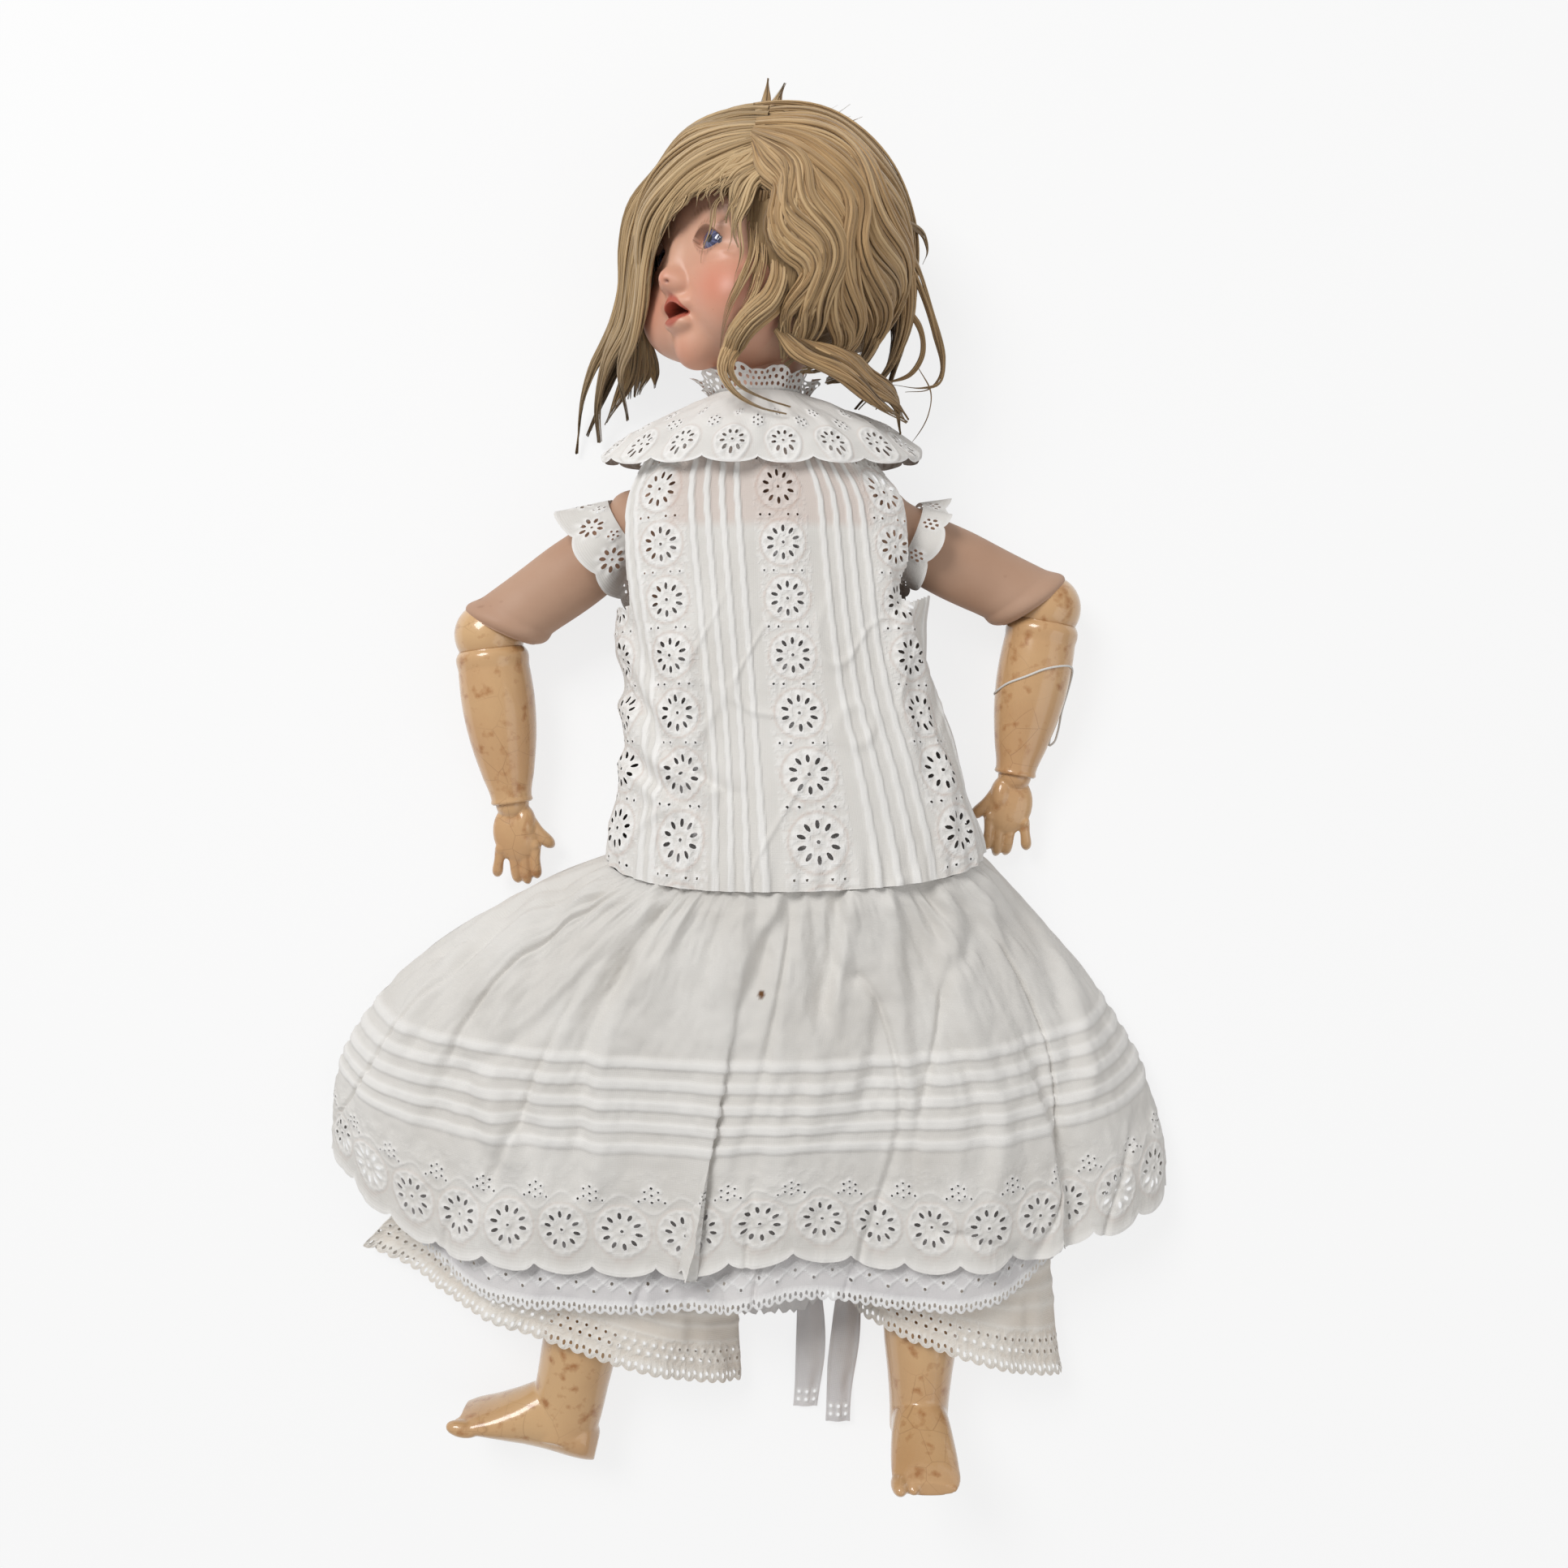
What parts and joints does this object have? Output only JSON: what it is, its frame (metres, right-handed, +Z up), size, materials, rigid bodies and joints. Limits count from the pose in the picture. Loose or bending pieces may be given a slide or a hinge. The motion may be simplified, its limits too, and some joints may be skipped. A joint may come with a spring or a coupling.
{
  "type": "ball-jointed bisque doll",
  "caption": "Antique child doll with a bisque socket head, mohair wig and ball-jointed composition limbs, in a white eyelet cotton dress, petticoat and drawers, lying on its back.",
  "frame": {"origin": "point on the table under the middle of the bodice back, where the doll lies", "axes": "+Y towards the head, +X towards the doll's left side, +Z up from the table"},
  "size_m": [0.4306, 0.684, 0.1257],
  "materials": {
    "bisque": "satin",
    "cork": "matte",
    "mohair": "soft",
    "glass_eye": "gloss",
    "porcelain": "gloss",
    "red_felt": "matte",
    "lead": "dull",
    "wood": "matte",
    "steel": "dull",
    "rubber_cord": "matte",
    "matte_paint": "matte paint",
    "varnish": "gloss varnish",
    "white_cotton": "matte",
    "cream_cotton": "matte"
  },
  "bodies": {
    "torso": {"torso": "matte_paint", "arm_elastic": "rubber_cord", "right_leg_elastic": "rubber_cord", "left_leg_elastic": "rubber_cord", "bodice": "white_cotton", "collar": "white_cotton", "neck_frill": "white_cotton", "skirt": "white_cotton", "petticoat": "white_cotton", "right_tie": "white_cotton", "left_tie": "white_cotton", "drawers_seat": "cream_cotton", "right_drawers_leg": "cream_cotton", "left_drawers_leg": "cream_cotton"},
    "neck": {"neck_hook": "steel", "neck_button": "wood"},
    "head": {"head": "bisque", "pate": "cork", "upper_teeth": "porcelain", "tongue": "red_felt", "wig": "mohair", "side_lock_right": "mohair", "side_lock_left": "mohair", "front_lock": "mohair"},
    "eyes": {"right_eye": "glass_eye", "left_eye": "glass_eye", "eye_rocker": "lead"},
    "right_arm_hook": {"right_arm_hook": "steel"},
    "right_upper_arm": {"right_upper_arm": "matte_paint", "right_upper_arm_elastic": "rubber_cord", "right_sleeve": "white_cotton"},
    "right_elbow": {"right_elbow_ball": "varnish"},
    "right_forearm": {"right_forearm": "varnish", "right_forearm_elastic": "rubber_cord"},
    "right_hand": {"right_hand": "varnish"},
    "left_arm_hook": {"left_arm_hook": "steel"},
    "left_upper_arm": {"left_upper_arm": "matte_paint", "left_upper_arm_elastic": "rubber_cord", "left_sleeve": "white_cotton"},
    "left_elbow": {"left_elbow_ball": "varnish"},
    "left_forearm": {"left_forearm": "varnish", "left_forearm_elastic": "rubber_cord"},
    "left_hand": {"left_hand": "varnish"},
    "right_thigh": {"right_thigh": "matte_paint", "right_thigh_elastic": "rubber_cord"},
    "right_knee": {"right_knee_ball": "varnish"},
    "right_lower_leg": {"right_lower_leg": "varnish", "right_shin_elastic": "rubber_cord"},
    "left_thigh": {"left_thigh": "matte_paint", "left_thigh_elastic": "rubber_cord"},
    "left_knee": {"left_knee_ball": "varnish"},
    "left_lower_leg": {"left_lower_leg": "varnish", "left_shin_elastic": "rubber_cord"}
  },
  "joints": [
    {"name": "neck_nod", "type": "hinge", "parent": "torso", "child": "neck", "pos_m": [0, 0.187, 0.054], "axis": [1, 0, 0], "range_deg": [-5, 8], "deforming": ["neck_frill", "right_leg_elastic", "left_leg_elastic"]},
    {"name": "head_turn", "type": "hinge", "parent": "neck", "child": "head", "pos_m": [0, 0.187, 0.054], "axis": [0.0872, 0.9962, 0], "range_deg": [-20, 70], "deforming": ["side_lock_right", "side_lock_left", "front_lock"]},
    {"name": "eyes_close", "type": "hinge", "parent": "head", "child": "eyes", "pos_m": [-0.0267, 0.24755, 0.08075], "axis": [0.6403, -0.056, 0.766], "range_deg": [0, 60]},
    {"name": "right_arm_raise", "type": "hinge", "parent": "torso", "child": "right_arm_hook", "pos_m": [-0.06, 0.127, 0.04], "axis": [0, 0, -1], "range_deg": [-3, 79.5], "deforming": ["collar", "bodice", "arm_elastic"]},
    {"name": "right_arm_lift", "type": "hinge", "parent": "right_arm_hook", "child": "right_upper_arm", "pos_m": [-0.06, 0.127, 0.04], "axis": [-0.5519, 0.8339, 0], "range_deg": [0, 25], "deforming": ["right_sleeve", "right_upper_arm_elastic"]},
    {"name": "right_elbow_bend", "type": "hinge", "parent": "right_upper_arm", "child": "right_elbow", "pos_m": [-0.13782, 0.07549, 0.0222], "axis": [0, 0, 1], "range_deg": [-63.5, 14.5]},
    {"name": "right_forearm_turn", "type": "hinge", "parent": "right_elbow", "child": "right_forearm", "pos_m": [-0.13782, 0.07549, 0.0222], "axis": [0.1216, -0.9901, -0.0698], "range_deg": [-90, 90], "deforming": ["right_forearm_elastic"]},
    {"name": "right_hand_turn", "type": "hinge", "parent": "right_forearm", "child": "right_hand", "pos_m": [-0.12736, -0.00966, 0.0162], "axis": [0.1216, -0.9901, -0.0698], "range_deg": [-90, 90]},
    {"name": "left_arm_raise", "type": "hinge", "parent": "torso", "child": "left_arm_hook", "pos_m": [0.06, 0.127, 0.04], "axis": [0, 0, 1], "range_deg": [-3, 70], "deforming": ["collar"]},
    {"name": "left_arm_lift", "type": "hinge", "parent": "left_arm_hook", "child": "left_upper_arm", "pos_m": [0.06, 0.127, 0.04], "axis": [-0.4067, -0.9135, 0], "range_deg": [0, 25], "deforming": ["left_sleeve", "left_upper_arm_elastic"]},
    {"name": "left_elbow_bend", "type": "hinge", "parent": "left_upper_arm", "child": "left_elbow", "pos_m": [0.14525, 0.08904, 0.0222], "axis": [0, 0, -1], "range_deg": [-76, 2]},
    {"name": "left_forearm_turn", "type": "hinge", "parent": "left_elbow", "child": "left_forearm", "pos_m": [0.14525, 0.08904, 0.0222], "axis": [-0.1732, -0.9824, -0.0698], "range_deg": [-90, 90], "deforming": ["left_forearm_elastic"]},
    {"name": "left_hand_turn", "type": "hinge", "parent": "left_forearm", "child": "left_hand", "pos_m": [0.13035, 0.00456, 0.0162], "axis": [-0.1732, -0.9824, -0.0698], "range_deg": [-90, 90]},
    {"name": "right_leg_spread", "type": "hinge", "parent": "torso", "child": "right_thigh", "pos_m": [-0.032, -0.06, 0.0385], "axis": [0, 0, -1], "range_deg": [-4, 13], "deforming": ["skirt", "petticoat", "drawers_seat", "right_drawers_leg", "left_drawers_leg", "right_tie", "left_tie"]},
    {"name": "right_knee_bend", "type": "hinge", "parent": "right_thigh", "child": "right_knee", "pos_m": [-0.07051, -0.18597, 0.02998], "axis": [0, 0, 1], "range_deg": [-5, 35], "deforming": ["right_thigh_elastic"]},
    {"name": "right_foot_turn", "type": "hinge", "parent": "right_knee", "child": "right_lower_leg", "pos_m": [-0.07051, -0.18597, 0.02998], "axis": [-0.2075, -0.9761, -0.0645], "range_deg": [-90, 0], "deforming": ["right_shin_elastic"]},
    {"name": "left_leg_spread", "type": "hinge", "parent": "torso", "child": "left_thigh", "pos_m": [0.032, -0.06, 0.0385], "axis": [0, 0, 1], "range_deg": [-4, 7], "deforming": ["left_thigh_elastic"]},
    {"name": "left_knee_bend", "type": "hinge", "parent": "left_thigh", "child": "left_knee", "pos_m": [0.08347, -0.18125, 0.02998], "axis": [0, 0, -1], "range_deg": [-24.2, 15.8]},
    {"name": "left_foot_turn", "type": "hinge", "parent": "left_knee", "child": "left_lower_leg", "pos_m": [0.08347, -0.18125, 0.02998], "axis": [0.0209, 0.9977, 0.0645], "range_deg": [0, 90], "deforming": ["left_shin_elastic"]}
  ]
}
